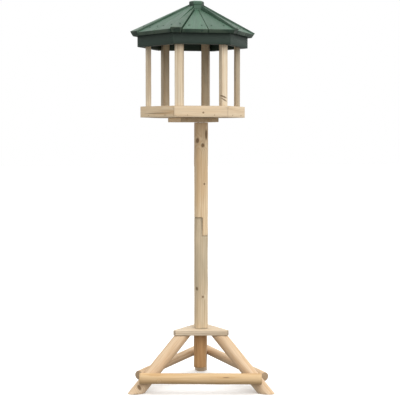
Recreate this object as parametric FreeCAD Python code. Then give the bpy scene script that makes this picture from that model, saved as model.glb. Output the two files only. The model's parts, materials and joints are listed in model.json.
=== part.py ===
import FreeCAD, Part
import math
import os

os.makedirs("parts", exist_ok=True)

# A garden bird table: a six-sided feeding house with a boarded roof, on a jointed post
# that stands on a three-legged base. Millimetres, +Z up, front towards -Y.
# Everything is drawn about the post's axis, and moved at the end so that the origin is
# the centre of the space that the whole table takes up, at ground level.

# ---------------------------------------------------------------- driving dimensions
sides = 6
total_height = 1060.0
tiny = 1e-6

# House, about its own upright axis
house_shift_x = -22.4           # the house is fixed a little to one side of the post
chamber_apothem = 117.3         # inner faces of the tray rim and of the fascia
tray_bottom_z = 742.6
tray_floor_thickness = 12.0
rim_top_z = 773.0
rim_thickness = 9.0
fascia_bottom_z = 933.7
fascia_thickness = 15.0
pillar_width = 22.5             # along the wall
pillar_depth = 13.3             # towards the middle
pillar_radius = 123.3
pillar_slides = (0.0, 7.5, 0.0, 0.0, 7.0, 3.5)  # set by eye, some a little off their corners
pillar_top_z = 962.0
mounting_plate_side = 109.5
mounting_plate_thickness = 12.5
mounting_plate_edge = 1.0
mounting_plate_turn = 10.0      # degrees, the plate against the house

# Roof: three tapered boards on each face, all running up to a block under the cap
eave_apothem = 148.6
eave_z = 971.5
apex_shift_x = 10.0             # the tip is not quite over the middle of the eaves
roof_board_thickness = 11.0
face_tip_z = (1055.5, 1050.0, 1055.0, 1056.0, 1045.0, 1052.5)
seam_places = (0.0, 0.18, 0.59, 1.0)
seam_gaps = (0.0, 2.2, 1.5, 0.0)
hip_gap = 1.2
narrow_board_rise = 4.5         # the narrow board of each face is the thicker one
narrow_board_tip_room = 0.3     # and stops this far short of the cap
spare_width = 40.0              # cut off again where two faces meet at a hip
spare_height = 100.0            # of the wedges that cut the roof's faces apart
tip_block_apothem = 17.6
support_block_apothem = 36.0
support_block_bottom_z = 988.0
cap_apothem = 18.4
cap_bottom_z = 1048.2
cap_edge = 2.0

# Post: a rounded square in two lengths, joined by a half lap
post_width = 37.0
post_corner_radius = 11.0
post_bottom_z = 160.0
lap_low_z = 418.0
lap_high_z = 468.0

# Base
base_turn = -10.0               # degrees, the base against the house
base_plate_inradius = 48.0
base_plate_corner_flat = 13.0
base_plate_thickness = 14.0
hub_diameter = 35.5
hub_shift_x = -3.0
hub_bottom_z = 50.0
leg_diameter = 37.0
leg_foot_radius = 202.0
leg_lean = 45.0                 # degrees from upright
stretcher_seat_depth = 2.5      # how far a stretcher is let into each leg
pole_end_edge = 1.2

# Fasteners
screw_radius = 2.0
screw_head_radius = 3.8
screw_head_height = 2.6
nail_radius = 0.9
nail_head_radius = 2.1
nail_head_height = 0.8
brad_radius = 0.7
brad_head_radius = 1.1
brad_head_height = 0.6
pillar_screw_length = 40.0
mounting_screw_length = 21.0
mounting_screw_radius = 57.0    # from the plate's middle, on its diagonals
post_screw_length = 55.0
post_screw_spread = 8.0
lap_screw_length = 31.0
lap_screw_inset = 14.0
leg_screw_length = 44.0
leg_screw_radius = 62.0
stretcher_screw_length = 58.0
stretcher_screw_end = 10.0      # least distance from a stretcher's end
stretcher_screw_sink = 2.2
cap_screw_length = 38.0
roof_nail_length = 21.0
narrow_board_nails = (0.55,)    # as shares of the board's width
wide_board_nails = (0.22, 0.78)
fascia_brad_length = 26.0
fascia_brad_rise = 16.0         # above the fascia's bottom edge
fascia_brad_step = 1.0          # outward of the pillar's mitred edge
rim_brad_length = 24.0
rim_brad_spread = 36.0
dowel_radius = 4.0
dowel_reach = 48.0

# Stretchers: the legs each one joins, its height beside each leg, and how far each of
# its ends runs past that leg's centre line. They were fixed by eye, so none is level.
# The screws stand off their centre lines, so that two of them can cross in one leg.
stretcher_plan = {
    "stretcher_front": {
        "legs": (0, 1),
        "heights": (42.5, 41.5),
        "overhangs": (28.0, 24.0),
        "diameter": 31.0,
        "screw_lift": 5.0,
    },
    "stretcher_rear_right": {
        "legs": (1, 2),
        "heights": (37.0, 64.0),
        "overhangs": (4.0, 27.0),
        "diameter": 27.0,
        "screw_lift": 3.5,
    },
    "stretcher_rear_left": {
        "legs": (2, 0),
        "heights": (61.0, 41.0),
        "overhangs": (27.0, 4.0),
        "diameter": 27.0,
        "screw_lift": -3.5,
    },
}

# ---------------------------------------------------------------- derived sizes
step = 360.0 / sides
half_step = step / 2
corner_factor = 1 / math.cos(math.radians(half_step))
house_axis = FreeCAD.Vector(house_shift_x, 0, 0)
roof_axis = FreeCAD.Vector(house_shift_x + apex_shift_x, 0, 0)
up = FreeCAD.Vector(0, 0, 1)
tray_floor_top_z = tray_bottom_z + tray_floor_thickness
mounting_plate_bottom_z = tray_bottom_z - mounting_plate_thickness
base_plate_bottom_z = post_bottom_z - base_plate_thickness
board_count = len(seam_places) - 1
leg_angles = tuple(210.0 + base_turn + 120.0 * number for number in range(3))
reach = 400.0                   # longer than anything it is used to cut
pillars = [f"pillar_{face + 1}" for face in range(sides)]
legs = [f"leg_{leg + 1}" for leg in range(3)]

parts = {}


# ---------------------------------------------------------------- helpers
def polar(radius, degrees, z=0.0, centre=FreeCAD.Vector(0, 0, 0)):
    angle = math.radians(degrees)
    return centre + FreeCAD.Vector(radius * math.cos(angle), radius * math.sin(angle), z)


def solid_from(points, push):
    outline = Part.makePolygon(list(points) + [points[0]])
    return Part.Face(outline).extrude(push)


def regular_prism(count, apothem, low, high, centre, turn=0.0):
    radius = apothem / math.cos(math.pi / count)
    corners = [polar(radius, turn + 360.0 * n / count, low, centre) for n in range(count)]
    return solid_from(corners, up * (high - low))


def ease_edges(shape, size, wanted):
    edges = [edge for edge in shape.Edges if wanted(edge)]
    return shape.makeChamfer(size, edges)


def is_flat_at(edge, z):
    box = edge.BoundBox
    return abs(box.ZMin - z) < tiny and abs(box.ZMax - z) < tiny


def screw(head, direction, length):
    way = FreeCAD.Vector(direction).normalize()
    top = Part.makeCone(screw_head_radius, screw_radius, screw_head_height, head, way)
    shank = Part.makeCylinder(screw_radius, length - screw_head_height, head + way * screw_head_height, way)
    return top.fuse(shank).removeSplitter()


def flat_headed(head, direction, length, radius, head_radius, head_height):
    way = FreeCAD.Vector(direction).normalize()
    top = Part.makeCylinder(head_radius, head_height, head, way)
    shank = Part.makeCylinder(radius, length - head_height, head + way * head_height, way)
    return top.fuse(shank).removeSplitter()


def nail(head, direction, length):
    return flat_headed(head, direction, length, nail_radius, nail_head_radius, nail_head_height)


def brad(head, direction, length):
    return flat_headed(head, direction, length, brad_radius, brad_head_radius, brad_head_height)


def boards(stem):
    return [name for name in parts if name.startswith(stem)]


def drill(names, tools):
    for name in names:
        box = parts[name].BoundBox
        for tool in tools:
            if box.intersect(tool.BoundBox):
                parts[name] = parts[name].cut(tool)


def add_fasteners(name, pieces, through):
    drill(through, pieces)
    parts[name] = Part.makeCompound(pieces)


# ---------------------------------------------------------------- house
def ring_board(face, thickness, low, high):
    inner = chamber_apothem * corner_factor
    outer = (chamber_apothem + thickness) * corner_factor
    first = step * face
    corners = [
        polar(inner, first, low, house_axis),
        polar(outer, first, low, house_axis),
        polar(outer, first + step, low, house_axis),
        polar(inner, first + step, low, house_axis),
    ]
    return solid_from(corners, up * (high - low))


def make_pillar(face):
    pillar = Part.makeBox(pillar_depth, pillar_width, pillar_top_z - tray_floor_top_z)
    pillar.translate(FreeCAD.Vector(-pillar_depth / 2, pillar_slides[face] - pillar_width / 2, 0))
    pillar.translate(FreeCAD.Vector(pillar_radius, 0, tray_floor_top_z))
    pillar.rotate(FreeCAD.Vector(0, 0, 0), up, step * face)
    pillar.translate(house_axis)
    corner = regular_prism(sides, chamber_apothem, 0, total_height, house_axis)
    return pillar.common(corner)


def make_house_frame():
    parts["tray_floor"] = regular_prism(sides, chamber_apothem, tray_bottom_z,
                                        tray_floor_top_z, house_axis)
    for face in range(sides):
        parts[f"rim_board_{face + 1}"] = ring_board(face, rim_thickness, tray_bottom_z, rim_top_z)
        parts[f"pillar_{face + 1}"] = make_pillar(face)


def make_fascia():
    # The top edges are bevelled to lie flat under the roof boards.
    for face in range(sides):
        board = ring_board(face, fascia_thickness, fascia_bottom_z, total_height)
        board = board.cut(above_underside(face))
        for name in boards("roof_board"):
            board = board.cut(parts[name])
        parts[f"fascia_board_{face + 1}"] = board


def make_mounting_plate():
    side = mounting_plate_side
    plate = Part.makeBox(side, side, mounting_plate_thickness)
    plate.translate(FreeCAD.Vector(-side / 2, -side / 2, mounting_plate_bottom_z))
    plate.rotate(FreeCAD.Vector(0, 0, 0), up, mounting_plate_turn)
    plate.translate(house_axis)
    parts["mounting_plate"] = ease_edges(plate, mounting_plate_edge,
                                         lambda edge: is_flat_at(edge, mounting_plate_bottom_z))


# ---------------------------------------------------------------- roof
def face_points(face):
    radius = eave_apothem * corner_factor
    left = polar(radius, step * face, eave_z, house_axis)
    right = polar(radius, step * (face + 1), eave_z, house_axis)
    tip = roof_axis + up * face_tip_z[face]
    return left, right, tip


def face_normal(face):
    left, right, tip = face_points(face)
    return (right - left).cross(tip - left).normalize()


def up_slope(face):
    left, right = face_points(face)[:2]
    return face_normal(face).cross(right - left).normalize()


def above_underside(face):
    left, right = face_points(face)[:2]
    normal = face_normal(face)
    slope = up_slope(face) * reach
    along = (right - left).normalize() * reach
    middle = (left + right) * 0.5 - normal * roof_board_thickness
    lower, upper = middle - slope, middle + slope
    return solid_from([lower - along, lower + along, upper + along, upper - along], normal * reach)


def face_sector(face):
    # Everything above one face, stopping half a gap short of the hips on either side.
    left, right = face_points(face)[:2]
    to_left = FreeCAD.Vector(left.x - roof_axis.x, left.y - roof_axis.y, 0)
    to_right = FreeCAD.Vector(right.x - roof_axis.x, right.y - roof_axis.y, 0)
    half_angle = to_left.getAngle(to_right) / 2
    middle = to_left.normalize() + to_right.normalize()
    start = roof_axis + middle.normalize() * (hip_gap / 2 / math.sin(half_angle))
    corners = [start, start + to_left * reach, start + to_right * reach]
    return solid_from(corners, up * (total_height + spare_height))


def make_roof_board(face, place):
    left, right, tip = face_points(face)
    normal = face_normal(face)
    across = (right - left).normalize()
    low_gap = across * (seam_gaps[place] / 2)
    high_gap = across * (seam_gaps[place + 1] / 2)
    start = left + (right - left) * seam_places[place] + low_gap
    end = left + (right - left) * seam_places[place + 1] - high_gap
    if place == 0:
        start = start - across * spare_width
    if place == board_count - 1:
        end = end + across * spare_width
    rise, middle_room = 0.0, tip_block_apothem
    if place == 0:
        rise, middle_room = narrow_board_rise, cap_apothem + narrow_board_tip_room
    corners = [corner + normal * rise for corner in (start, end, tip + low_gap - high_gap)]
    board = solid_from(corners, normal * -(roof_board_thickness + rise))
    block = regular_prism(sides, middle_room, eave_z, total_height, roof_axis)
    return board.common(face_sector(face)).cut(block)


def make_roof():
    for face in range(sides):
        for place, letter in enumerate("abc"):
            parts[f"roof_board_{face + 1}{letter}"] = make_roof_board(face, place)
    support = regular_prism(sides, support_block_apothem, support_block_bottom_z, total_height, roof_axis)
    for face in range(sides):
        support = support.cut(above_underside(face))
    core = regular_prism(sides, tip_block_apothem, support_block_bottom_z, cap_bottom_z, roof_axis)
    parts["apex_block"] = support.fuse(core).removeSplitter()
    cap = regular_prism(sides, cap_apothem, cap_bottom_z, total_height, roof_axis)
    parts["roof_cap"] = ease_edges(cap, cap_edge, lambda edge: is_flat_at(edge, total_height))


# ---------------------------------------------------------------- post
def rounded_square(low, high):
    half = post_width / 2
    box = Part.makeBox(post_width, post_width, high - low)
    box.translate(FreeCAD.Vector(-half, -half, low))
    uprights = [edge for edge in box.Edges if edge.BoundBox.ZLength > tiny]
    return box.makeFillet(post_corner_radius, uprights)


def half_space(side, low, high):
    block = Part.makeBox(reach, reach, high - low)
    block.translate(FreeCAD.Vector(0 if side > 0 else -reach, -reach / 2, low))
    return block


def make_post():
    upper = rounded_square(lap_low_z, mounting_plate_bottom_z)
    parts["post_upper"] = upper.cut(half_space(-1, lap_low_z, lap_high_z))
    lower = rounded_square(post_bottom_z, lap_high_z)
    parts["post_lower"] = lower.cut(half_space(1, lap_low_z, lap_high_z))


# ---------------------------------------------------------------- base
def leg_point(leg, z):
    radius = leg_foot_radius - z * math.tan(math.radians(leg_lean))
    return polar(radius, leg_angles[leg], z)


def make_leg(leg):
    low = leg_point(leg, -leg_diameter)
    high = leg_point(leg, base_plate_bottom_z + leg_diameter)
    pole = Part.makeCylinder(leg_diameter / 2, (high - low).Length, low, high - low)
    room = Part.makeBox(2 * reach, 2 * reach, base_plate_bottom_z)
    room.translate(FreeCAD.Vector(-reach, -reach, 0))
    return pole.common(room)


def beside_leg(leg, other, z, diameter):
    # Where a stretcher's centre line passes a leg, on the leg's outer side.
    here = leg_point(leg, z)
    along = FreeCAD.Vector(leg_point(other, z) - here).normalize()
    outward = along.cross(up)
    if outward.dot(here) < 0:
        outward = outward * -1
    lean_way = FreeCAD.Vector(leg_point(leg, base_plate_bottom_z) - here).normalize()
    square_off = along.cross(lean_way).normalize()
    apart = leg_diameter / 2 + diameter / 2 - stretcher_seat_depth
    return here + outward * (apart / abs(outward.dot(square_off)))


def stretcher_line(name):
    plan = stretcher_plan[name]
    first, second = plan["legs"]
    start = beside_leg(first, second, plan["heights"][0], plan["diameter"])
    end = beside_leg(second, first, plan["heights"][1], plan["diameter"])
    along = FreeCAD.Vector(end - start).normalize()
    return start - along * plan["overhangs"][0], end + along * plan["overhangs"][1]


def make_stretcher(name):
    start, end = stretcher_line(name)
    radius = stretcher_plan[name]["diameter"] / 2
    pole = Part.makeCylinder(radius, (end - start).Length, start, end - start)
    return ease_edges(pole, pole_end_edge, lambda edge: edge.Closed)


def make_base_plate():
    plate = regular_prism(3, base_plate_inradius, base_plate_bottom_z, post_bottom_z,
                          FreeCAD.Vector(0, 0, 0), leg_angles[0])
    flat_at = 2 * base_plate_inradius - base_plate_corner_flat * math.cos(math.radians(half_step))
    trim = regular_prism(3, flat_at, base_plate_bottom_z, post_bottom_z,
                         FreeCAD.Vector(0, 0, 0), leg_angles[0] + 180.0)
    return plate.common(trim)


def make_base():
    parts["tripod_plate"] = make_base_plate()
    hub_length = base_plate_bottom_z - hub_bottom_z
    hub = Part.makeCylinder(hub_diameter / 2, hub_length, FreeCAD.Vector(hub_shift_x, 0, hub_bottom_z))
    parts["hub_pole"] = ease_edges(hub, pole_end_edge,
                                   lambda edge: edge.Closed and is_flat_at(edge, hub_bottom_z))
    for leg in range(3):
        parts[f"leg_{leg + 1}"] = make_leg(leg)
    for name, plan in stretcher_plan.items():
        parts[name] = make_stretcher(name)
        for leg in plan["legs"]:
            parts[f"leg_{leg + 1}"] = parts[f"leg_{leg + 1}"].cut(parts[name])


# ---------------------------------------------------------------- fasteners
def fasten_pillars():
    pieces = []
    for face, slide in enumerate(pillar_slides):
        corner = polar(pillar_radius, step * face, tray_bottom_z, house_axis)
        pieces.append(screw(corner + polar(slide, step * face + 90.0), up, pillar_screw_length))
    add_fasteners("pillar_screws", pieces, ["tray_floor"] + pillars)


def fasten_ring(thickness, spread, z, length, slides):
    # Two brads in each board. Those that go into the pillars follow the pillars' slides.
    pieces = []
    for face in range(sides):
        outward = polar(1.0, step * face + half_step)
        along = outward.cross(up)
        middle = house_axis + outward * (chamber_apothem + thickness) + up * z
        for side, slide in ((1, slides[face]), (-1, slides[(face + 1) % sides])):
            place = middle + along * (side * spread - slide * corner_factor)
            pieces.append(brad(place, outward * -1, length))
    return pieces


def fasten_frame():
    # Brads hold the rim to the floor's edge, and the fascia to the pillars' mitred edges.
    rim_z = tray_bottom_z + tray_floor_thickness / 2
    rim = fasten_ring(rim_thickness, rim_brad_spread, rim_z, rim_brad_length, [0.0] * sides)
    half_side = chamber_apothem * math.tan(math.radians(half_step))
    pillar_edge = half_side - pillar_width / 2 * corner_factor + fascia_brad_step
    fascia_z = fascia_bottom_z + fascia_brad_rise
    fascia = fasten_ring(fascia_thickness, pillar_edge, fascia_z, fascia_brad_length, pillar_slides)
    through = ["tray_floor"] + boards("rim_board") + boards("fascia_board") + pillars
    add_fasteners("frame_brads", rim + fascia, through)


def fasten_roof():
    pieces = []
    inset = eave_apothem - chamber_apothem - fascia_thickness / 2
    for face in range(sides):
        left, right, tip = face_points(face)
        normal = face_normal(face)
        share = 1.0 - inset / eave_apothem
        for place in range(board_count):
            low, high = seam_places[place], seam_places[place + 1]
            narrow = place == 0
            for spot in narrow_board_nails if narrow else wide_board_nails:
                on_eave = left + (right - left) * (low + (high - low) * spot)
                head = tip + (on_eave - tip) * share
                head = head + normal * (narrow_board_rise if narrow else 0.0)
                pieces.append(nail(head, normal * -1, roof_nail_length))
    add_fasteners("roof_nails", pieces, boards("roof_board") + boards("fascia_board"))
    top = roof_axis + up * total_height
    add_fasteners("cap_screw", [screw(top, up * -1, cap_screw_length)], ["roof_cap", "apex_block"])


def fasten_post():
    plate_screws = []
    for corner in range(4):
        angle = mounting_plate_turn + 45.0 + 90.0 * corner
        head = polar(mounting_screw_radius, angle, mounting_plate_bottom_z, house_axis)
        plate_screws.append(screw(head, up, mounting_screw_length))
    add_fasteners("mounting_plate_screws", plate_screws, ["mounting_plate", "tray_floor"])
    top_screws = []
    for side in (-1, 1):
        head = FreeCAD.Vector(side * post_screw_spread, 0, tray_bottom_z)
        top_screws.append(screw(head, up * -1, post_screw_length))
    add_fasteners("post_top_screws", top_screws, ["mounting_plate", "post_upper"])
    lap_screws = []
    for z in (lap_low_z + lap_screw_inset, lap_high_z - lap_screw_inset):
        head = FreeCAD.Vector(post_width / 2, 0, z)
        lap_screws.append(screw(head, FreeCAD.Vector(-1, 0, 0), lap_screw_length))
    add_fasteners("lap_joint_screws", lap_screws, ["post_upper", "post_lower"])
    dowel = Part.makeCylinder(dowel_radius, base_plate_thickness + 2 * dowel_reach,
                              FreeCAD.Vector(0, 0, base_plate_bottom_z - dowel_reach))
    add_fasteners("post_dowel", [dowel], ["hub_pole", "tripod_plate", "post_lower"])


def fasten_base():
    heads = [polar(leg_screw_radius, angle, post_bottom_z) for angle in leg_angles]
    leg_screws = [screw(head, up * -1, leg_screw_length) for head in heads]
    add_fasteners("leg_screws", leg_screws, ["tripod_plate"] + legs)
    pieces = []
    clearances = []
    for name, plan in stretcher_plan.items():
        start, end = stretcher_line(name)
        along = FreeCAD.Vector(end - start).normalize()
        outward = along.cross(up).normalize()
        if outward.dot(start) < 0:
            outward = outward * -1
        sink = outward * stretcher_screw_sink
        first, second = [max(overhang, stretcher_screw_end) for overhang in plan["overhangs"]]
        for leg, place in zip(plan["legs"], (start + along * first, end - along * second)):
            # The head is on the leg's inner side, let in below the round surface.
            place = place + up * plan["screw_lift"]
            inside = Part.makeLine(place, place - outward * reach).common(parts[legs[leg]])
            surface = min((corner.Point for corner in inside.Vertexes), key=lambda point: point.dot(outward))
            pieces.append(screw(surface + sink, outward, stretcher_screw_length))
            clearances.append(Part.makeCylinder(screw_head_radius, 2 * sink.Length, surface - sink, outward))
    drill(legs, clearances)
    add_fasteners("stretcher_screws", pieces, list(stretcher_plan) + legs)


def fasten_everything():
    fasten_pillars()
    fasten_frame()
    fasten_roof()
    fasten_post()
    fasten_base()


# ---------------------------------------------------------------- placing and writing
def place_on_ground():
    whole = FreeCAD.BoundBox()
    for shape in parts.values():
        whole.add(shape.optimalBoundingBox(False))
    shift = FreeCAD.Vector(-(whole.XMin + whole.XMax) / 2, -(whole.YMin + whole.YMax) / 2, -whole.ZMin)
    for shape in parts.values():
        shape.translate(shift)
    print("post axis at", round(shift.x, 3), round(shift.y, 3))
    print("size", round(whole.XLength, 2), round(whole.YLength, 2), round(whole.ZLength, 2))


def write_parts():
    for name, shape in parts.items():
        if not shape.isValid() or shape.Volume <= 0 or len(shape.Solids) == 0:
            raise ValueError(f"{name} is not a sound solid")
        shape.exportStep(f"parts/{name}.step")
    print(len(parts), "parts written")


make_house_frame()
make_mounting_plate()
make_roof()
make_fascia()
make_post()
make_base()
fasten_everything()
place_on_ground()
write_parts()
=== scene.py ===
import json
import math
import random

import bpy
import numpy as np
from mathutils import Matrix, Vector


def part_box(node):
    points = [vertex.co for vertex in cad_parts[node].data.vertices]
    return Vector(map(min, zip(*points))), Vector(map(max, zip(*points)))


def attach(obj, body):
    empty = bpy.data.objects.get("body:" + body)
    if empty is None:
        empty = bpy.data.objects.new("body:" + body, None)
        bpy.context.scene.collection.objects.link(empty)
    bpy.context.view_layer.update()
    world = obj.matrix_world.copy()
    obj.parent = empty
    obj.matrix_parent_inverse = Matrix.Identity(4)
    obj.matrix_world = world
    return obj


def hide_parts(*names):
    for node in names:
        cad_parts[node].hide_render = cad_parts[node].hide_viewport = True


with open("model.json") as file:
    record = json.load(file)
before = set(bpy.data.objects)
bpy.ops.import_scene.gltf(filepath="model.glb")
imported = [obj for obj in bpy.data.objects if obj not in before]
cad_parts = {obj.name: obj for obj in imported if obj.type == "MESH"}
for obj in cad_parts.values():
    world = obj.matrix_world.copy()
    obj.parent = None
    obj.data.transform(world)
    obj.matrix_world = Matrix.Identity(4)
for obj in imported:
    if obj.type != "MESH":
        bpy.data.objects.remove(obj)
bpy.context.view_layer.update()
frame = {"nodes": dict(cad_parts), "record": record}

slotOf = {row["node"]: row["material_slot"] for row in frame["record"]["subparts"]}
postLow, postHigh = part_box("post_lower")
postAxis = (postLow + postHigh) / 2
postAxis.z = 0
upward = Vector((0, 0, 1))
rightward = Vector((1, 0, 0))
mm = 0.001
random.seed(11)


# Small tools, each one a thing done by hand in the viewport

def only(piece):
    bpy.ops.object.select_all(action="DESELECT")
    piece.select_set(True)
    bpy.context.view_layer.objects.active = piece


def startEdit(piece, kind="VERT"):
    only(piece)
    bpy.context.tool_settings.mesh_select_mode = (kind == "VERT", kind == "EDGE", kind == "FACE")
    bpy.ops.object.mode_set(mode="EDIT")
    bpy.ops.mesh.select_all(action="SELECT")


def endEdit():
    bpy.ops.object.mode_set(mode="OBJECT")


def pick(piece, kind, wanted):
    # leaves edit mode open with only the wanted points, edges or faces selected
    startEdit(piece, kind)
    bpy.ops.mesh.select_all(action="DESELECT")
    endEdit()
    mesh = piece.data
    for part in {"VERT": mesh.vertices, "EDGE": mesh.edges, "FACE": mesh.polygons}[kind]:
        part.select = wanted(part)
    bpy.ops.object.mode_set(mode="EDIT")


def settle(piece):
    only(piece)
    bpy.ops.object.transform_apply(location=True, rotation=True, scale=True)


def useModifier(piece, kind, **settings):
    modifier = piece.modifiers.new(kind.title(), kind)
    for key, value in settings.items():
        setattr(modifier, key, value)
    only(piece)
    bpy.ops.object.modifier_apply(modifier=modifier.name)


def addBlock(name, low, high):
    bpy.ops.object.select_all(action="DESELECT")
    bpy.ops.mesh.primitive_cube_add(size=1, location=(low + high) / 2)
    block = bpy.context.object
    block.name = name
    block.scale = high - low
    settle(block)
    return block


def cutAway(piece, low, high):
    cutter = addBlock("cutter", low, high)
    useModifier(piece, "BOOLEAN", object=cutter, operation="DIFFERENCE", solver="EXACT")
    bpy.data.objects.remove(cutter)


def easeSharpEdges(piece, width, angle=28):
    startEdit(piece, "EDGE")
    bpy.ops.mesh.select_all(action="DESELECT")
    bpy.ops.mesh.edges_select_sharp(sharpness=math.radians(angle))
    bpy.ops.mesh.bevel(offset=width, segments=2, affect="EDGES", clamp_overlap=True)
    endEdit()


def cutAcross(piece, start, along, length, spacing):
    # plain cuts at even distances, so that the surface has points to move
    count = max(1, round(length / spacing))
    startEdit(piece)
    for number in range(1, count):
        place = start + along * (length * number / count)
        bpy.ops.mesh.select_all(action="SELECT")
        bpy.ops.mesh.bisect(plane_co=place, plane_no=along)
    endEdit()


def reachAlong(piece, along):
    # where the piece begins along a direction, and how long it is that way
    shares = [point.co.dot(along) for point in piece.data.vertices]
    return along * min(shares), max(shares) - min(shares)


def broadNormal(piece, along):
    # the way the largest face looks, leaving out the ends
    endSlant = 0.5
    sides = [face for face in piece.data.polygons if abs(face.normal.dot(along)) < endSlant]
    return max(sides, key=lambda face: face.area).normal.copy()


def gridCuts(piece, along, spacings):
    # cuts across the grain and along it, and none through the thickness
    flat = along.cross(broadNormal(piece, along)).normalized()
    for way, spacing in zip((along, flat), spacings):
        start, length = reachAlong(piece, way)
        cutAcross(piece, start, way, length, spacing)


def markEdges(piece):
    # 1 on the eased edges and 0 elsewhere, for the paint and dirt that wear there
    sameWay = 0.97
    mesh = piece.data
    normals = [[] for point in mesh.vertices]
    for face in mesh.polygons:
        for number in face.vertices:
            normals[number].append(face.normal)
    values = [float(min(normal.dot(near[0]) for normal in near) < sameWay) for near in normals]
    mesh.attributes.new("wear", "FLOAT", "POINT").data.foreach_set("value", values)


def unevenness(name, size):
    texture = bpy.data.textures.new(name, "CLOUDS")
    texture.noise_scale = size
    texture.noise_depth = 1
    return texture


def roughen(piece, texture, depth):
    # only ever inwards, so that no piece grows past its true size
    useModifier(piece, "DISPLACE", texture=texture, texture_coords="LOCAL", strength=depth, mid_level=1.0)


def smoothShade(piece, angle=32):
    only(piece)
    bpy.ops.object.shade_smooth_by_angle(angle=math.radians(angle))


def handOver(piece, node, material):
    piece.data.materials.clear()
    piece.data.materials.append(material)
    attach(piece, "root")
    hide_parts(node)


# Shorthands for wiring a material

def tone(red, green, blue):
    # a colour as picked on screen, turned into linear light
    shares = [value / 255 for value in (red, green, blue)]
    return tuple(v / 12.92 if v < 0.04045 else ((v + 0.055) / 1.055) ** 2.4 for v in shares) + (1.0,)


def put(tree, kind, sockets, **settings):
    made = tree.nodes.new("ShaderNode" + kind)
    for key, value in settings.items():
        setattr(made, key, value)
    for key, value in sockets.items():
        if isinstance(value, bpy.types.NodeSocket):
            tree.links.new(value, made.inputs[key])
        else:
            made.inputs[key].default_value = value
    return made


def mixColour(tree, share, first, second):
    return put(tree, "Mix", {0: share, 6: first, 7: second}, data_type="RGBA").outputs[2]


def sums(tree, operation, first, second=0.0):
    return put(tree, "Math", {0: first, 1: second}, operation=operation).outputs[0]


def softStep(tree, value, low, high, bottom=0.0, top=1.0):
    sockets = {0: value, 1: low, 2: high, 3: bottom, 4: top}
    return put(tree, "MapRange", sockets, interpolation_type="SMOOTHSTEP").outputs[0]


def lengthOf(tree, vector):
    return put(tree, "VectorMath", {0: vector}, operation="LENGTH").outputs["Value"]


def multiplyAdd(tree, first, second, third):
    return put(tree, "VectorMath", {0: first, 1: second, 2: third}, operation="MULTIPLY_ADD").outputs[0]


def stretched(tree, vector, shares):
    return put(tree, "VectorMath", {0: vector, 1: shares}, operation="MULTIPLY").outputs[0]


def dimmed(tree, colour, share):
    return put(tree, "VectorMath", {0: colour, "Scale": share}, operation="SCALE").outputs[0]


def cloud(tree, vector, scale, seed, detail=3.0):
    sockets = {"Vector": vector, "W": seed, "Scale": scale, "Detail": detail}
    return put(tree, "TexNoise", sockets, noise_dimensions="4D")


def addBump(tree, shader, height, strength, depth):
    bump = put(tree, "Bump", {"Height": height, "Strength": strength, "Distance": depth})
    tree.links.new(bump.outputs[0], shader.inputs["Normal"])


def newSurface(name):
    material = bpy.data.materials.new(name)
    material.use_nodes = True
    tree = material.node_tree
    return material, tree, tree.nodes["Principled BSDF"], put(tree, "TexCoord", {})


# Finishes. Every wood has its own grain frame, with z along the grain, and rings round its own pith line.

# Pairs are where a soft step begins and where it ends.
grainPlan = {
    "drift": {"squeeze": 0.12, "scale": 22, "seed": 0, "detail": 3.0},        # bends the rings
    "fibre": {"squeeze": 0.03, "scale": 850, "seed": 0, "detail": 2.0},
    "streak": {"squeeze": 0.05, "scale": 130, "seed": 3, "detail": 3.0},
    "patch": {"squeeze": 0.3, "scale": 26, "seed": 7, "detail": 3.0},
    "lateWood": (0.25, 0.9),        # where in a ring it darkens, as shares of the ring
    "ringEnd": (1.0, 0.93),
    "endGrain": (0.6, 0.95),        # how squarely a face has to look along the grain
}
knotPlan = {
    "bend": (3.6, 0.8),             # rings part round a knot from this many radii inwards
    "push": 1.3,
    "rim": (1.45, 0.6),
    "core": (1.0, 0.1),
    "cover": 0.88,
}
woodPlan = {
    "streak": (0.45, 0.72), "patch": (0.42, 0.68), "fibre": (0.25, 0.75, 1.06, 0.88),
    "edge": (0.5, 1.0), "edgePatch": (0.3, 0.6), "grime": 0.86,
    "roughBy": "fibre", "roughStep": (0.2, 0.8), "roughSpread": (0.08, 0.08),
    "ringHeight": 0.35, "bump": 0.45, "depth": 0.00035,
}
paintPlan = {
    "streak": (0.4, 0.7), "patch": (0.45, 0.7), "fibre": (0.25, 0.75, 1.12, 0.84),
    "edge": (0.55, 1.0), "edgePatch": (0.42, 0.6),
    "roughBy": "streak", "roughStep": (0.3, 0.7), "roughSpread": (0.07, 0.1),
    "ringHeight": 0.4, "bump": 0.5, "depth": 0.0004,
}
steelPlan = {
    "tarnish": (0.5, 0.7), "scratchScale": 2600, "scratchSqueeze": 0.2, "scratch": (0.3, 0.7),
    "roughSpread": 0.1, "metal": 0.95, "bump": 0.3, "depth": 0.0001,
}


def wood(light, dark, shade, **changes):
    # the shares say how strongly each part of the pattern shows
    look = {"light": tone(*light), "ring": tone(*dark), "streak": tone(*dark), "patch": tone(*shade)}
    look.update(knotRim=tone(92, 70, 44), knotCore=tone(124, 92, 56))
    look.update(rings=0.5, streaks=0.45, patches=0.35, endGrain=0.74, rough=0.66, gloss=0.35)
    look.update(changes)
    return look


def paint(light, deep, pale, bare, **changes):
    look = {"light": tone(*light), "ring": tone(*deep), "streak": tone(*pale), "patch": tone(*deep)}
    look.update(bare=tone(*bare), rings=0.4)
    look.update(changes)
    return look


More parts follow.
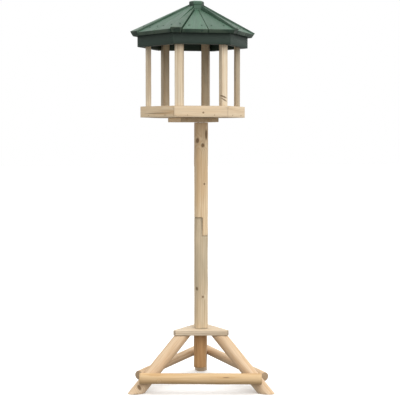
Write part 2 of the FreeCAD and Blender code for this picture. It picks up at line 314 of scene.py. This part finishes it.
# One look for each slot, and for the few pieces that differ from the rest of theirs
looks = {
    "pillar_wood": wood((231, 216, 190), (202, 172, 134), (212, 186, 150)),
    "tray_wood": wood((230, 210, 179), (202, 168, 126), (222, 192, 156)),
    "rim_board_4": wood((226, 206, 174), (196, 158, 112), (206, 166, 118), streaks=0.7, patches=0.5),
    "plate_wood": wood((222, 206, 182), (184, 154, 116), (202, 174, 136)),
    # the mounting plate's light tones are partly painted light against the shade under the tray
    "mounting_plate": wood((240, 218, 184), (204, 166, 116), (216, 176, 128), endGrain=0.62),
    "post_wood": wood((216, 197, 166), (186, 156, 118), (184, 168, 140), patches=0.7),
    "post_upper": wood((225, 202, 167), (194, 156, 112), (200, 168, 126), patches=0.6),
    "hub_wood": wood((204, 163, 114), (162, 118, 74), (178, 133, 86)),
    "pole_wood": wood((212, 187, 156), (186, 149, 108), (200, 169, 132)),
    "stretcher_front": wood((204, 174, 132), (178, 138, 90), (190, 152, 102)),
    # the roof paint's strong end darkening is partly painted shade on the eave ends, which get little of
    # the light from above, and partly end grain taking up more paint
    "green_roof_paint": paint((62, 94, 74), (40, 68, 50), (84, 114, 94), (118, 134, 112), streaks=0.5,
                              patches=0.5, wear=0.22, rough=0.46, gloss=0.5, endGrain=0.42),
    # the fascia paint's darker tones are partly painted shade under the eaves and partly a darker coat
    "green_fascia_paint": paint((34, 54, 42), (24, 38, 30), (44, 62, 52), (70, 84, 70), streaks=0.4,
                                patches=0.4, wear=0.2, rough=0.5, gloss=0.4, endGrain=0.8),
}
steels = {
    "nail_steel": {
        "bright": tone(172, 152, 122), "dull": tone(142, 120, 92), "spots": 700, "tarnish": 0.8,
        "rough": 0.6,
    },
    "zinc_screw": {
        "bright": tone(206, 204, 196), "dull": tone(160, 154, 138), "spots": 500, "tarnish": 0.5,
        "rough": 0.34,
    },
}

# Knots: millimetres from the piece's middle, their three radii, and how they are turned.
knots = {
    "post_upper": [
        ((-13.4, -16.9, 106), (4.6, 5.0, 7.0), (0, 8, 0)),
        ((1.7, -18.5, 93), (4.4, 5.0, 5.4), (0, 0, 0)),
        ((11.5, -17.7, 122), (3.4, 4.0, 13.0), (0, 0, 0)),
        ((6.1, -18.5, -13), (2.4, 3.0, 2.6), (0, 0, 0)),
        ((14.0, 15.0, 40), (4.0, 4.0, 5.0), (0, 0, 0)),
    ],
    "post_lower": [
        ((-14.7, -15.8, -42), (3.2, 4.0, 5.2), (0, -8, 0)),
        ((2.2, -18.5, -65), (2.4, 3.0, 3.2), (0, 0, 0)),
        ((-6.0, 18.5, 30), (4.2, 4.0, 5.0), (0, 0, 0)),
    ],
    "pillar_6": [
        ((1.5, -11.8, -62), (16.0, 9.0, 2.3), (0, 20, 0)),
        ((4.0, -11.8, -71), (13.0, 9.0, 2.0), (0, 28, 0)),
    ],
    "rim_board_5": [((6, -4.5, -3), (2.4, 4.0, 2.2), (0, 0, 0))],
    "rim_board_4": [((-2, -3, -4), (52, 5.0, 1.0), (0, 0, -60))],
    "rim_board_2": [((-24, 4.5, 3), (3.0, 4.0, 2.6), (0, 0, 0))],
    "tripod_plate": [
        ((24, -34, 3), (5.0, 7.0, 3.4), (0, 0, 0)),
        ((-30, 20, 7), (4.0, 5.0, 4.0), (0, 0, 0)),
    ],
    "leg_1": [((-63, -40, -54), (4.4, 9.0, 9.0), (0, -30, 0))],
    "leg_2": [((20, -40, 20), (4.0, 5.0, 5.0), (0, 0, 0))],
    "leg_3": [((12, 30, 10), (5.0, 6.0, 6.0), (0, 0, 0))],
    "stretcher_front": [
        ((-112, -4, -2), (2.8, 7.0, 2.4), (0, 0, 0)),
        ((66, -24, 6), (9.0, 4.0, 0.9), (0, 0, 0)),
    ],
}


def grainCloud(tree, own, name, seed):
    plan = grainPlan[name]
    along = stretched(tree, own, (1, 1, plan["squeeze"]))
    return cloud(tree, along, plan["scale"], seed + plan["seed"], plan["detail"])


def ringRadius(tree, own, grain):
    # the distance from the pith, which wanders
    wander = grain["wander"]
    pith = (-grain["pith"][0] - wander / 2, -grain["pith"][1] - wander / 2, 0)
    flat = multiplyAdd(tree, own, (1, 1, 0), pith)
    drift = grainCloud(tree, own, "drift", grain["seed"]).outputs["Color"]
    return lengthOf(tree, multiplyAdd(tree, drift, (wander, wander, 0), flat))


def grainLayers(tree, coords, grain):
    # the parts of a softwood's pattern, each from 0 to 1
    turn = grain["along"].to_track_quat("Z", "Y").to_euler()
    sockets = {"Vector": coords.outputs["Object"], "Location": grain["place"], "Rotation": turn}
    own = put(tree, "Mapping", sockets, vector_type="TEXTURE").outputs[0]
    radius = ringRadius(tree, own, grain)
    knot, core = 0.0, 0.0
    for offset, radii, turned in grain["knots"]:
        sockets = {
            "Vector": coords.outputs["Object"],
            "Location": grain["place"] + Vector(offset) * mm,
            "Rotation": [math.radians(angle) for angle in turned],
            "Scale": [size * mm for size in radii],
        }
        spot = put(tree, "Mapping", sockets, vector_type="TEXTURE").outputs[0]
        far = lengthOf(tree, spot)
        push = softStep(tree, far, *knotPlan["bend"], 0.0, radii[0] * mm * knotPlan["push"])
        radius = sums(tree, "ADD", radius, push)
        knot = sums(tree, "MAXIMUM", softStep(tree, far, *knotPlan["rim"]), knot)
        core = sums(tree, "MAXIMUM", softStep(tree, far, *knotPlan["core"]), core)
    ring = sums(tree, "FRACT", sums(tree, "DIVIDE", radius, grain["ring"]))
    rise, fall = (softStep(tree, ring, *grainPlan[name]) for name in ("lateWood", "ringEnd"))
    sockets = {0: coords.outputs["Normal"], 1: grain["along"]}
    facing = put(tree, "VectorMath", sockets, operation="DOT_PRODUCT").outputs["Value"]
    layers = {
        "knot": knot,
        "core": core,
        "late": sums(tree, "MULTIPLY", rise, fall),
        "end": softStep(tree, sums(tree, "ABSOLUTE", facing), *grainPlan["endGrain"]),
    }
    for name in ("fibre", "streak", "patch"):
        layers[name] = grainCloud(tree, own, name, grain["seed"]).outputs[0]
    return layers


def grainColour(tree, layers, look, plan):
    share = sums(tree, "MULTIPLY", layers["late"], look["rings"])
    colour = mixColour(tree, share, look["light"], look["ring"])
    for name, amount in (("streak", look["streaks"]), ("patch", look["patches"])):
        share = softStep(tree, layers[name], *plan[name], 0.0, amount)
        colour = mixColour(tree, share, colour, look[name])
    colour = dimmed(tree, colour, softStep(tree, layers["fibre"], *plan["fibre"]))
    # faces that look along the grain are darkened: end grain, and on the roof paint also painted shade on
    # the eave ends
    return dimmed(tree, colour, softStep(tree, layers["end"], 0.0, 1.0, 1.0, look["endGrain"]))


def wornEdges(tree, layers, plan):
    edge = put(tree, "Attribute", {}, attribute_name="wear").outputs["Fac"]
    here = softStep(tree, layers["patch"], *plan["edgePatch"])
    return sums(tree, "MULTIPLY", softStep(tree, edge, *plan["edge"]), here)


def connect(tree, shader, layers, look, plan, colour):
    tree.links.new(colour, shader.inputs["Base Color"])
    below, above = plan["roughSpread"]
    low, high = look["rough"] - below, look["rough"] + above
    rough = softStep(tree, layers[plan["roughBy"]], *plan["roughStep"], low, high)
    tree.links.new(rough, shader.inputs["Roughness"])
    shader.inputs["Specular IOR Level"].default_value = look["gloss"]
    rings = sums(tree, "MULTIPLY", layers["late"], plan["ringHeight"])
    height = sums(tree, "ADD", rings, layers["fibre"])
    addBump(tree, shader, height, plan["bump"], plan["depth"])


def makeWood(name, look, grain):
    material, tree, shader, coords = newSurface(name)
    layers = grainLayers(tree, coords, grain)
    colour = grainColour(tree, layers, look, woodPlan)
    if grain["knots"]:
        knotColour = mixColour(tree, layers["core"], look["knotRim"], look["knotCore"])
        share = sums(tree, "MULTIPLY", layers["knot"], knotPlan["cover"])
        colour = mixColour(tree, share, colour, knotColour)
    grime = wornEdges(tree, layers, woodPlan)
    colour = dimmed(tree, colour, softStep(tree, grime, 0.0, 1.0, 1.0, woodPlan["grime"]))
    connect(tree, shader, layers, look, woodPlan, dimmed(tree, colour, grain["tint"]))
    return material


def makePaint(name, look, grain):
    # a thin coat, so the grain still shows, rubbed pale along the edges
    material, tree, shader, coords = newSurface(name)
    layers = grainLayers(tree, coords, grain)
    colour = grainColour(tree, layers, look, paintPlan)
    rubbed = sums(tree, "MULTIPLY", wornEdges(tree, layers, paintPlan), look["wear"])
    colour = mixColour(tree, rubbed, colour, look["bare"])
    connect(tree, shader, layers, look, paintPlan, dimmed(tree, colour, grain["tint"]))
    return material


def makeSteel(name, look):
    material, tree, shader, coords = newSurface(name)
    spots = cloud(tree, coords.outputs["Object"], look["spots"], 2.0).outputs[0]
    long = stretched(tree, coords.outputs["Object"], (1, 1, steelPlan["scratchSqueeze"]))
    scratches = cloud(tree, long, steelPlan["scratchScale"], 5.0).outputs[0]
    share = softStep(tree, spots, *steelPlan["tarnish"], 0.0, look["tarnish"])
    tree.links.new(mixColour(tree, share, look["bright"], look["dull"]), shader.inputs["Base Color"])
    low, high = look["rough"] - steelPlan["roughSpread"], look["rough"] + steelPlan["roughSpread"]
    rough = softStep(tree, scratches, *steelPlan["scratch"], low, high)
    tree.links.new(rough, shader.inputs["Roughness"])
    shader.inputs["Metallic"].default_value = steelPlan["metal"]
    addBump(tree, shader, scratches, steelPlan["bump"], steelPlan["depth"])
    return material


def finishFor(node, along, pith, **changes):
    # the material for the piece that stands for one node
    low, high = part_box(node)
    name = slotOf[node]
    grain = {"place": (low + high) / 2, "along": along.normalized(), "pith": pith, "wander": 0.007,
             "ring": 0.0034, "seed": random.uniform(0, 60), "tint": random.uniform(0.95, 1.05),
             "knots": knots.get(node, ())}
    grain.update(changes)
    make = makePaint if name.endswith("paint") else makeWood
    return make(node + "_finish", looks.get(node, looks[name]), grain)


# Flat boards: the true outline comes from the frame, the eased edges and the unevenness from here

boardPlan = {"edge": 0.0009, "uneven": 0.0005, "patch": 0.035, "merge": 0.00001, "flat": 1.5}
boardTexture = unevenness("boardUnevenness", boardPlan["patch"])


def outlineOf(node, name):
    mesh = frame["nodes"][node].data.copy()
    piece = bpy.data.objects.new(name, mesh)
    bpy.context.scene.collection.objects.link(piece)
    mesh.materials.clear()
    startEdit(piece)
    bpy.ops.mesh.remove_doubles(threshold=boardPlan["merge"])
    bpy.ops.mesh.convex_hull()
    bpy.ops.mesh.select_all(action="SELECT")
    bpy.ops.mesh.dissolve_limited(angle_limit=math.radians(boardPlan["flat"]))
    bpy.ops.mesh.normals_make_consistent(inside=False)
    endEdit()
    return piece


def pithOf(plan):
    # how far the pith lies to the side and behind; a pair of numbers is a range to draw from
    return tuple(random.uniform(*part) if isinstance(part, tuple) else part for part in plan["pith"])


plainPith = (0.0, 0.03)        # for pieces whose rings hardly show


def makeBoard(node, name, along, pith, plan, **changes):
    piece = outlineOf(node, name)
    easeSharpEdges(piece, plan.get("edge", boardPlan["edge"]))
    gridCuts(piece, along.normalized(), plan["cuts"])
    markEdges(piece)
    roughen(piece, boardTexture, boardPlan["uneven"])
    smoothShade(piece)
    handOver(piece, node, finishFor(node, along, pith, **changes))


def makePlate(node, name, along, plan):
    # a board of which there is only one
    changes = {"tint": plan["tint"]} if "tint" in plan else {}
    makeBoard(node, name, along, pithOf(plan), plan, **changes)


def compass(degrees):
    angle = math.radians(degrees)
    return Vector((math.cos(angle), math.sin(angle), 0))


# The feeding house, with six of each board round it

trayFloorPlan = {"pith": (0.0, 0.05), "cuts": (0.012, 0.012)}
rimPlan = {"pith": (0.004, (0.02, 0.05)), "cuts": (0.01, 0.007)}
fasciaPlan = {"pith": (0.01, (0.03, 0.06)), "cuts": (0.01, 0.008)}
pillarPlan = {
    "pith": ((-0.02, 0.02), 0.03), "cuts": (0.01, 0.006), "ring": 0.0028,
    # pillars 1 to 3 stand at the back, and their tints below one are painted shade from the roof
    "tints": {1: 0.83, 2: 0.71, 3: 0.71, 4: 1.0, 5: 1.0, 6: 1.03},
}
# the tint above one is painted light that lifts the plate out of the shade under the tray
mountingPlatePlan = {"grainTurn": 100, "pith": (0.01, 0.06), "cuts": (0.012, 0.01), "tint": 1.28}


def makeHouse():
    makePlate("tray_floor", "trayFloor", rightward, trayFloorPlan)
    for number in range(1, 7):
        wall = compass(60 * number - 30)
        along = wall.cross(upward)
        makeBoard(f"rim_board_{number}", f"rimBoard{number}", along, pithOf(rimPlan), rimPlan)
        makeBoard(f"fascia_board_{number}", f"fasciaBoard{number}", along, pithOf(fasciaPlan), fasciaPlan)
        # the tints paint shade on the three back pillars
        makeBoard(f"pillar_{number}", f"pillar{number}", upward, pithOf(pillarPlan), pillarPlan,
                  ring=pillarPlan["ring"], tint=pillarPlan["tints"][number])
    grainWay = compass(mountingPlatePlan["grainTurn"])
    makePlate("mounting_plate", "mountingPlate", grainWay, mountingPlatePlan)


# The roof: three tapered boards to a face, cut from different planks, so each has its own tint

roofBoardPlan = {
    "pith": ((-0.03, 0.03), (0.02, 0.05)), "cuts": (0.009, 0.008),
    "tints": {"a": 0.86, "b": 1.04, "c": 0.98}, "tintSpread": (0.95, 1.05),
    "eaveHeight": 0.012, "tipHeight": 0.006,
}
roofCapPlan = {"pith": (0.0, 0.02), "cuts": (0.006, 0.006), "edge": 0.0014, "tint": 1.14}


def slopeOf(node):
    # from the middle of the board's eave to its tip
    low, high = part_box(node)
    points = [point.co for point in frame["nodes"][node].data.vertices]
    eave = [p for p in points if p.z < low.z + roofBoardPlan["eaveHeight"]]
    tip = [p for p in points if p.z > high.z - roofBoardPlan["tipHeight"]]
    return sum(tip, Vector()) / len(tip) - sum(eave, Vector()) / len(eave)


def makeRoof():
    for number in range(1, 7):
        for letter, tint in roofBoardPlan["tints"].items():
            node = f"roof_board_{number}{letter}"
            makeBoard(node, f"roofBoard{number}{letter}", slopeOf(node), pithOf(roofBoardPlan),
                      roofBoardPlan, tint=tint * random.uniform(*roofBoardPlan["tintSpread"]))
    makePlate("roof_cap", "roofCap", rightward, roofCapPlan)


# The post: a rounded square in two lengths, half lapped where they meet

postPlan = {
    "corner": 0.011, "round": 9, "cut": 0.012, "edge": 0.0005, "uneven": 0.0012, "joint": 0.00012,
    "cutRoom": 0.05, "pithSide": 0.006, "pithDepth": 0.014, "wander": 0.014, "ring": 0.0042,
    "edgeAngle": 40, "smoothAngle": 30,
}
poleTexture = unevenness("poleUnevenness", 0.06)        # the post and the round poles share it


def isUpright(piece, edge):
    ends = [piece.data.vertices[number].co for number in edge.vertices]
    return abs(ends[0].z - ends[1].z) > postPlan["corner"]


def makePostLength(node, name, tongueSide):
    # the lap is cut a hair large, so that the joint shows as a fine line
    low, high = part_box(node)
    length = addBlock(name, low, high)
    pick(length, "EDGE", lambda edge: isUpright(length, edge))
    bpy.ops.mesh.bevel(offset=postPlan["corner"], segments=postPlan["round"], affect="EDGES")
    endEdit()
    lapLow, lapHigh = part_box("post_upper")[0].z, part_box("post_lower")[1].z
    room, gap = postPlan["cutRoom"], postPlan["joint"]
    if tongueSide > 0:
        cutLow, cutHigh = (-room, -room, lapLow - room), (gap / 2, room, lapHigh + gap)
    else:
        cutLow, cutHigh = (-gap / 2, -room, lapLow - gap), (room, room, lapHigh + room)
    cutAway(length, postAxis + Vector(cutLow), postAxis + Vector(cutHigh))
    easeSharpEdges(length, postPlan["edge"], postPlan["edgeAngle"])
    cutAcross(length, Vector((0, 0, low.z)), upward, high.z - low.z, postPlan["cut"])
    markEdges(length)
    roughen(length, poleTexture, postPlan["uneven"])
    smoothShade(length, postPlan["smoothAngle"])
    pith = (postPlan["pithSide"] * tongueSide, postPlan["pithDepth"])
    finish = finishFor(node, upward, pith, wander=postPlan["wander"], ring=postPlan["ring"])
    handOver(length, node, finish)


def makePost():
    makePostLength("post_upper", "postUpper", 1)
    makePostLength("post_lower", "postLower", -1)


# Round poles: machined from small logs, so the rings run round a pith that is near the middle

polePlan = {
    "sides": 56, "cut": 0.012, "edge": 0.0016, "edgeAngle": 35, "smoothAngle": 40, "uneven": 0.0013,
    "pith": ((-0.004, 0.004), (-0.004, 0.004)), "wander": 0.012, "ring": 0.0031,
    "endRoom": 0.0001,        # points this near an end belong to it
}
legPlan = {"endRoom": 0.00001, "sole": 0.0002}        # the sole stands a hair above the ground
tripodPlatePlan = {"grain": (1, -0.17, 0), "pith": (0.005, 0.05), "cuts": (0.01, 0.01), "tint": 0.96}


def middleOf(points):
    columns = list(zip(*points))
    return Vector([(min(column) + max(column)) / 2 for column in columns])


def poleAxis(node):
    # a round side has far more area than the two ends, so its normals tell which way the pole runs
    spread = np.zeros((3, 3))
    for face in frame["nodes"][node].data.polygons:
        normal = np.array(face.normal)
        spread += face.area * np.outer(normal, normal)
    along = Vector(np.linalg.eigh(spread)[1][:, 0])
    return along if along.x > 0 else -along


def radiusRound(points, start, along):
    return max((p - start - along * (p - start).dot(along)).length for p in points)


def endsOf(node, along):
    # the middles of a pole's two ends, and its radius
    points = [point.co for point in frame["nodes"][node].data.vertices]
    low = min(p.dot(along) for p in points)
    high = max(p.dot(along) for p in points)
    start = middleOf([p for p in points if p.dot(along) < low + polePlan["endRoom"]])
    end = middleOf([p for p in points if p.dot(along) > high - polePlan["endRoom"]])
    return start, end, radiusRound(points, start, along)


def addPole(name, start, end, radius):
    bpy.ops.object.select_all(action="DESELECT")
    turn = (end - start).to_track_quat("Z", "Y").to_euler()
    bpy.ops.mesh.primitive_cylinder_add(vertices=polePlan["sides"], radius=radius,
                                        depth=(end - start).length, location=(start + end) / 2,
                                        rotation=turn)
    pole = bpy.context.object
    pole.name = name
    settle(pole)
    return pole


def finishPole(pole, node, along, start, length):
    cutAcross(pole, start, along, length, polePlan["cut"])
    markEdges(pole)
    roughen(pole, poleTexture, polePlan["uneven"])
    smoothShade(pole, polePlan["smoothAngle"])
    pith = pithOf(polePlan)
    finish = finishFor(node, along, pith, wander=polePlan["wander"], ring=polePlan["ring"])
    handOver(pole, node, finish)


def makeStraightPole(node, name, ends, along):
    start, end, radius = ends
    pole = addPole(name, start, end, radius)
    easeSharpEdges(pole, polePlan["edge"], polePlan["edgeAngle"])
    finishPole(pole, node, along, start, (end - start).length)


def makeStretcher(side):
    node = "stretcher_" + side
    start, end, radius = endsOf(node, poleAxis(node))
    name = "stretcher" + side.title().replace("_", "")
    makeStraightPole(node, name, (start, end, radius), (end - start).normalized())


def makeLeg(number):
    # a pole longer than the leg, cut level at the foot and under the plate
    node = f"leg_{number}"
    low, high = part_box(node)
    points = [point.co for point in frame["nodes"][node].data.vertices]
    foot = middleOf([p for p in points if p.z < low.z + legPlan["endRoom"]])
    top = middleOf([p for p in points if p.z > high.z - legPlan["endRoom"]])
    along = (top - foot).normalized()
    radius = radiusRound(points, foot, along)
    leg = addPole(f"leg{number}", foot - along * radius, top + along * radius, radius)
    for place, way in ((foot, -upward), (top, upward)):
        startEdit(leg)
        bpy.ops.mesh.bisect(plane_co=place, plane_no=way, use_fill=True, clear_outer=True)
        endEdit()
    easeSharpEdges(leg, polePlan["edge"], polePlan["edgeAngle"])
    start, length = reachAlong(leg, along)
    start = foot + along * (start.dot(along) - foot.dot(along))
    finishPole(leg, node, along, start, length)
    level = foot.z + legPlan["sole"]
    pick(leg, "VERT", lambda point: point.co.z < level + polePlan["uneven"])
    bpy.ops.transform.resize(value=(1, 1, 0), center_override=(0, 0, level))
    endEdit()


def makeBase():
    makePlate("tripod_plate", "tripodPlate", Vector(tripodPlatePlan["grain"]), tripodPlatePlan)
    makeStraightPole("hub_pole", "hubPole", endsOf("hub_pole", upward), upward)
    for number in (1, 2, 3):
        makeLeg(number)
    for side in ("front", "rear_left", "rear_right"):
        makeStretcher(side)


# Fasteners: one of each is modelled, then a copy is set where the frame has one

fastenerPlan = {
    "sides": 20, "merge": 0.000001, "endRoom": 0.00002, "smoothAngle": 35,
    "nailRim": 0.0005, "nailDome": 0.00015, "domeInset": 0.3, "step": 0.00001,
    "screwRim": 0.0003, "screwTaper": 0.0008,
    "crossWidth": 0.0011, "crossLength": 0.0044, "crossDepth": 0.0016, "crossAbove": 0.001,
}
proudOf = {"nail_steel": 0.0003, "zinc_screw": -0.0001}
fastenerNames = {
    "roof_nails": "roofNails", "frame_brads": "frameBrads", "cap_screw": "capScrew",
    "pillar_screws": "pillarScrews", "mounting_plate_screws": "mountingPlateScrews",
    "post_top_screws": "postTopScrews", "lap_joint_screws": "lapJointScrews",
    "leg_screws": "legScrews", "stretcher_screws": "stretcherScrews",
}


def fastenerPlaces(node):
    # head middle, direction, length, head radius and shank radius of each one in a node
    room = fastenerPlan["endRoom"]
    whole = bpy.data.objects.new("fastenersInNode", frame["nodes"][node].data.copy())
    bpy.context.scene.collection.objects.link(whole)
    startEdit(whole)
    bpy.ops.mesh.remove_doubles(threshold=fastenerPlan["merge"])
    bpy.ops.mesh.separate(type="LOOSE")
    endEdit()
    places = []
    for single in list(bpy.context.selected_objects):
        points = np.array([point.co for point in single.data.vertices])
        along = Vector(np.linalg.svd(points - points.mean(0))[2][0])
        points = [Vector(p) for p in points]
        shares = [p.dot(along) for p in points]
        low, high = min(shares), max(shares)
        start = middleOf([p for p, share in zip(points, shares) if share < low + room])
        end = middleOf([p for p, share in zip(points, shares) if share > high - room])
        widths = []
        for place in (start, end):
            near = [p for p in points if abs((p - place).dot(along)) < room]
            widths.append(max((p - place).length for p in near))
        if widths[1] > widths[0]:
            start, end = end, start
            widths.reverse()
        places.append((start, (end - start).normalized(), (end - start).length, widths[0], widths[1]))
        bpy.data.objects.remove(single)
    return places


def addShank(radius, length, top):
    # leaves edit mode open with the upper end selected
    bpy.ops.object.select_all(action="DESELECT")
    bpy.ops.mesh.primitive_cylinder_add(vertices=fastenerPlan["sides"], radius=radius, depth=length,
                                        location=(0, 0, top - length / 2))
    shank = bpy.context.object
    settle(shank)
    pick(shank, "FACE", lambda face: face.normal.z > 0.9)
    return shank


def drawUp(rise):
    bpy.ops.mesh.extrude_region_move(TRANSFORM_OT_translate={"value": (0, 0, rise)})


def widen(share):
    bpy.ops.transform.resize(value=(share, share, 1), center_override=(0, 0, 0))


def modelNail(length, headRadius, radius):
    # a flat head, slightly domed, over a plain shank; it points down
    nail = addShank(radius, length, 0)
    drawUp(fastenerPlan["step"])
    widen(headRadius / radius)
    drawUp(fastenerPlan["nailRim"])
    bpy.ops.mesh.inset(thickness=headRadius * fastenerPlan["domeInset"])
    bpy.ops.transform.translate(value=(0, 0, fastenerPlan["nailDome"]))
    endEdit()
    return nail


def modelScrew(length, headRadius, radius):
    # a countersunk head with a cross recess; it points down
    rim = fastenerPlan["screwRim"]
    depth = headRadius - radius + fastenerPlan["screwTaper"]
    screw = addShank(radius, length - depth, -depth)
    drawUp(depth - rim)
    widen(headRadius / radius)
    drawUp(rim)
    bpy.ops.mesh.inset(thickness=rim)
    endEdit()
    wide, long = fastenerPlan["crossWidth"] / 2, fastenerPlan["crossLength"] / 2
    for x, y in ((wide, long), (long, wide)):
        low = Vector((-x, -y, -fastenerPlan["crossDepth"]))
        cutAway(screw, low, Vector((x, y, fastenerPlan["crossAbove"])))
    return screw


def makeFasteners(node, name, model, material):
    places = fastenerPlaces(node)
    sizes = places[0][2:]
    copies = [model(*sizes)]
    while len(copies) < len(places):
        single = copies[0].copy()
        single.data = copies[0].data.copy()
        bpy.context.scene.collection.objects.link(single)
        copies.append(single)
    for single, place in zip(copies, places):
        head, way = place[:2]
        turn = (-way).to_track_quat("Z", "Y").to_matrix().to_4x4()
        single.matrix_world = Matrix.Translation(head - way * proudOf[slotOf[node]]) @ turn
    bpy.ops.object.select_all(action="DESELECT")
    for single in copies:
        single.select_set(True)
    bpy.context.view_layer.objects.active = copies[0]
    bpy.ops.object.join()
    group = bpy.context.object
    group.name = name
    settle(group)
    smoothShade(group, fastenerPlan["smoothAngle"])
    handOver(group, node, material)
    return group


def paintOver(group, node, low):
    # heads above this height were painted along with the boards that they hold
    group.data.materials.append(finishFor(node, upward, plainPith))
    for face in group.data.polygons:
        if face.center.z > low:
            face.material_index = 1


def makeAllFasteners(metals):
    made = {}
    for node, name in fastenerNames.items():
        model = modelNail if slotOf[node] == "nail_steel" else modelScrew
        made[node] = makeFasteners(node, name, model, metals[slotOf[node]])
    # the brads through the rim stay bare, and every roof nail is painted
    paintOver(made["frame_brads"], "fascia_board_5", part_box("fascia_board_5")[0].z)
    paintOver(made["roof_nails"], "roof_board_5b", 0.0)


def finishHidden(metals):
    # two pieces that never show from outside keep the frame's own shape
    finishes = {"post_dowel": metals["zinc_screw"],
                "apex_block": finishFor("apex_block", rightward, plainPith)}
    for node, material in finishes.items():
        mesh = frame["nodes"][node].data
        mesh.materials.clear()
        mesh.materials.append(material)


# Stage: pale floor, soft light from above and the front, and the camera

cameraPlan = {
    "azimuth": -10.09, "distance": 3.095, "height": 0.7024, "aimHeight": 0.516, "aside": -0.00287,
    "lens": 101.0, "farthest": 60,
}
keyPlan = {"turn": 28, "rise": 42, "soft": 75, "power": 1.66}
skyPlan = {
    "up": 1.32, "side": 0.62, "down": 0.36,
    "horizon": 0.05, "upperReach": (0.0, 0.9), "lowerReach": (-0.5, 0.05),
}
floorPlan = {
    "size": 40, "height": -0.0008, "pale": tone(250, 250, 249), "dull": tone(246, 246, 245),
    "speckles": 60, "speckleStep": (0.3, 0.7), "rough": 0.9, "gloss": 0.1,
    "glow": 0.16,        # keeps the shadows faint
}
white = (1, 1, 1, 1)


def makeFloor():
    bpy.ops.object.select_all(action="DESELECT")
    bpy.ops.mesh.primitive_plane_add(size=floorPlan["size"], location=(0, 0, floorPlan["height"]))
    floor = bpy.context.object
    floor.name = "floor"
    material, tree, shader, coords = newSurface("floor_finish")
    speckle = cloud(tree, coords.outputs["Object"], floorPlan["speckles"], 1.0).outputs[0]
    share = softStep(tree, speckle, *floorPlan["speckleStep"])
    colour = mixColour(tree, share, floorPlan["dull"], floorPlan["pale"])
    tree.links.new(colour, shader.inputs["Base Color"])
    shader.inputs["Roughness"].default_value = floorPlan["rough"]
    shader.inputs["Specular IOR Level"].default_value = floorPlan["gloss"]
    shader.inputs["Emission Color"].default_value = white
    shader.inputs["Emission Strength"].default_value = floorPlan["glow"]
    floor.data.materials.append(material)
    floor.visible_diffuse = False
    floor.visible_glossy = False


def makeSky():
    # brighter overhead, and plain white where the camera looks past the piece
    world = bpy.data.worlds.new("studio")
    bpy.context.scene.world = world
    world.use_nodes = True
    tree = world.node_tree
    backing = tree.nodes["Background"]
    coords = put(tree, "TexCoord", {})
    height = put(tree, "SeparateXYZ", {0: coords.outputs["Generated"]}).outputs["Z"]
    upper = softStep(tree, height, *skyPlan["upperReach"], skyPlan["side"], skyPlan["up"])
    lower = softStep(tree, height, *skyPlan["lowerReach"], skyPlan["down"], skyPlan["side"])
    above = sums(tree, "GREATER_THAN", height, skyPlan["horizon"])
    power = put(tree, "Mix", {0: above, 2: lower, 3: upper}, data_type="FLOAT").outputs[0]
    seen = put(tree, "LightPath", {}).outputs["Is Camera Ray"]
    power = put(tree, "Mix", {0: seen, 2: power, 3: 1.0}, data_type="FLOAT").outputs[0]
    backing.inputs["Color"].default_value = white
    tree.links.new(power, backing.inputs["Strength"])


def makeKey():
    light = bpy.data.lights.new("keyLight", "SUN")
    light.energy = keyPlan["power"]
    light.angle = math.radians(keyPlan["soft"])
    lamp = bpy.data.objects.new("keyLight", light)
    bpy.context.scene.collection.objects.link(lamp)
    turn, rise = math.radians(keyPlan["turn"]), math.radians(keyPlan["rise"])
    source = Vector((math.sin(turn) * math.cos(rise), -math.cos(turn) * math.cos(rise), math.sin(rise)))
    lamp.rotation_euler = source.to_track_quat("Z", "Y").to_euler()


def makeCamera():
    camera = bpy.data.cameras.new("camera")
    camera.lens = cameraPlan["lens"]
    camera.clip_end = cameraPlan["farthest"]
    holder = bpy.data.objects.new("camera", camera)
    bpy.context.scene.collection.objects.link(holder)
    back = compass(cameraPlan["azimuth"] - 90)
    middle = postAxis + compass(cameraPlan["azimuth"]) * cameraPlan["aside"]
    holder.location = middle + back * cameraPlan["distance"] + upward * cameraPlan["height"]
    aim = middle + upward * cameraPlan["aimHeight"]
    holder.rotation_euler = (holder.location - aim).to_track_quat("Z", "Y").to_euler()
    bpy.context.scene.camera = holder


makeCamera()
makeFloor()
makeSky()
makeKey()
bpy.context.scene.view_settings.view_transform = "Standard"
print("stage and camera ready")
makeHouse()
print("house ready")
makeRoof()
print("roof ready")
makePost()
print("post ready")
makeBase()
print("base ready")
metals = {name: makeSteel(name + "_finish", look) for name, look in steels.items()}
makeAllFasteners(metals)
finishHidden(metals)
print("fasteners ready")
